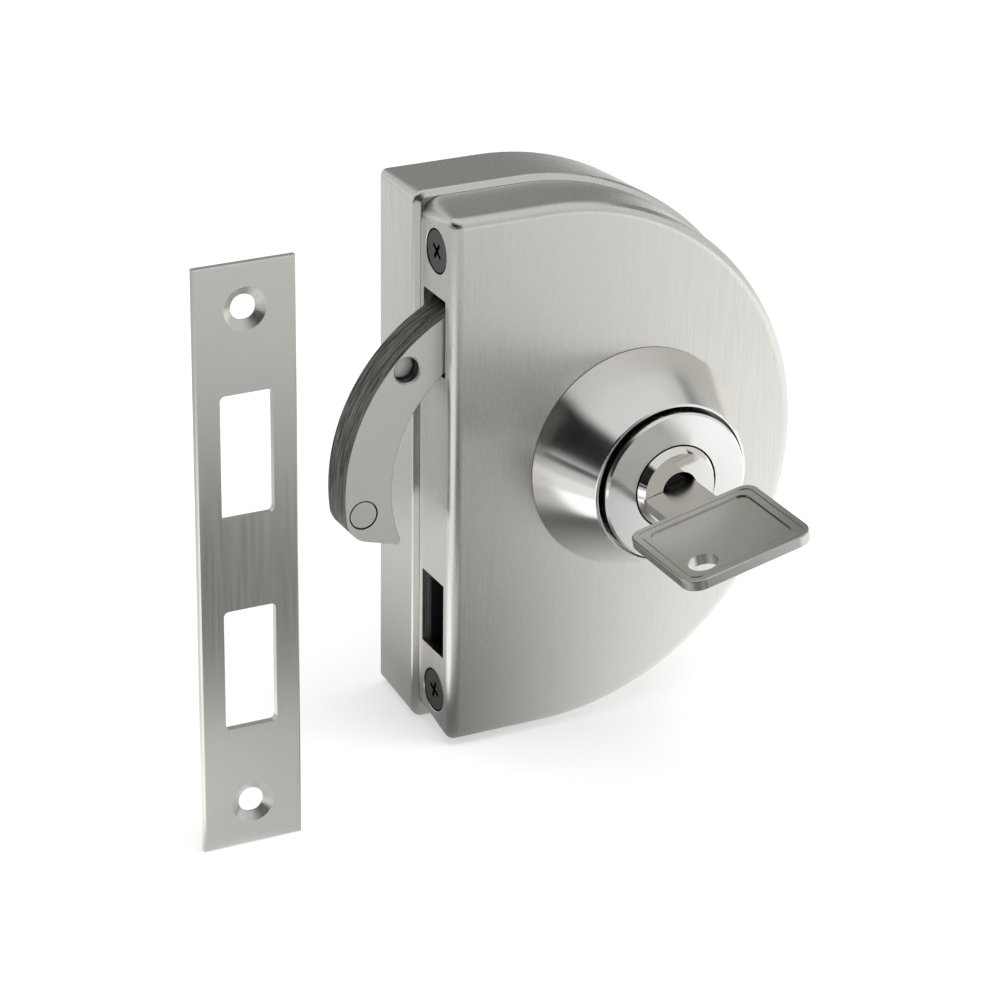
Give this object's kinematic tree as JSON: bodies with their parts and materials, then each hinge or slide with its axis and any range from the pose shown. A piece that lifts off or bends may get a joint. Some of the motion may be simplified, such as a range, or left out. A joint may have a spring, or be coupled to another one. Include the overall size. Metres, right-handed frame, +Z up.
{
  "type": "glass door lock",
  "caption": "D-shaped lock for a glass door: a key in a raised cylinder swings a curved hook bolt out of the closing edge; with its strike plate.",
  "frame": {"origin": "on the closing edge at mid-height, in the joint plane between the two covers, where the edge of the glass lies", "axes": "+X from the closing edge toward the rounded nose, +Y from the key side into the door, +Z up; the key faces -Y"},
  "size_m": [0.1339, 0.0828, 0.1146],
  "materials": {
    "satin_steel": "satin",
    "strike_steel": "brushed",
    "zinc_steel": "matte",
    "screw_steel": "satin",
    "hook_steel": "satin",
    "hard_steel": "satin",
    "spring_steel": "satin",
    "polished_chrome": "polished",
    "brass": "satin",
    "nickel_silver": "satin",
    "rubber": "matte"
  },
  "bodies": {
    "lock": {"front_cover": "satin_steel", "rear_cover": "satin_steel", "case_front_plate": "zinc_steel", "case_back_plate": "zinc_steel", "case_pillars": "zinc_steel", "edge_screw_blocks": "zinc_steel", "hook_pivot_pin": "zinc_steel", "idler_stud": "zinc_steel", "clamp_plate": "zinc_steel", "clamp_posts": "zinc_steel", "spring_strip": "zinc_steel", "edge_screws": "screw_steel", "cylinder_screws": "screw_steel", "clamp_screws": "screw_steel", "driver_springs": "spring_steel", "escutcheon_cone": "polished_chrome", "cylinder_body": "polished_chrome", "driver_pins": "brass", "front_gasket": "rubber", "rear_gasket": "rubber"},
    "hook": {"hook_plate_1": "hook_steel", "hook_plate_2": "hook_steel", "hook_plate_3": "hook_steel", "hook_plate_4": "hook_steel", "hook_plate_5": "hook_steel", "hook_hardened_pin": "hard_steel", "hook_eye_pin": "hard_steel", "hook_rivets": "hook_steel", "hook_bush": "brass", "hook_gear": "hard_steel", "hook_gear_rivets": "hook_steel"},
    "idler": {"idler_gear": "hard_steel"},
    "plug": {"plug": "polished_chrome", "key_pins": "brass", "plug_clip": "zinc_steel", "drive_gear": "hard_steel", "drive_gear_screw": "screw_steel"},
    "key": {"key": "nickel_silver"},
    "strike": {"strike_plate": "strike_steel"}
  },
  "joints": [
    {"name": "hook_swing", "type": "hinge", "parent": "lock", "child": "hook", "pos_m": [0.0178, -0.0062, 0], "axis": [0, -1, 0], "range_deg": [-75.5, 56.5]},
    {"name": "idler_turn", "type": "hinge", "parent": "lock", "child": "idler", "pos_m": [0.02957, -0.0085, 0.00564], "axis": [0, -1, 0], "range_deg": [-60.6, 81]},
    {"name": "key_turn", "type": "hinge", "parent": "lock", "child": "plug", "pos_m": [0.0393, -0.02, 0], "axis": [0, -1, 0], "range_deg": [-103, 77.1]},
    {"name": "key_slide", "type": "slide", "parent": "plug", "child": "key", "axis": [0, -1, 0], "range_m": [0, 0.026]},
    {"name": "strike_slide", "type": "slide", "parent": "lock", "child": "strike", "axis": [-1, 0, 0], "range_m": [0, 0.05]}
  ],
  "couplings": [
    {"joint": "idler_turn", "follows": "hook_swing", "ratio": -1.0714},
    {"joint": "key_turn", "follows": "hook_swing", "ratio": 1.3636}
  ]
}
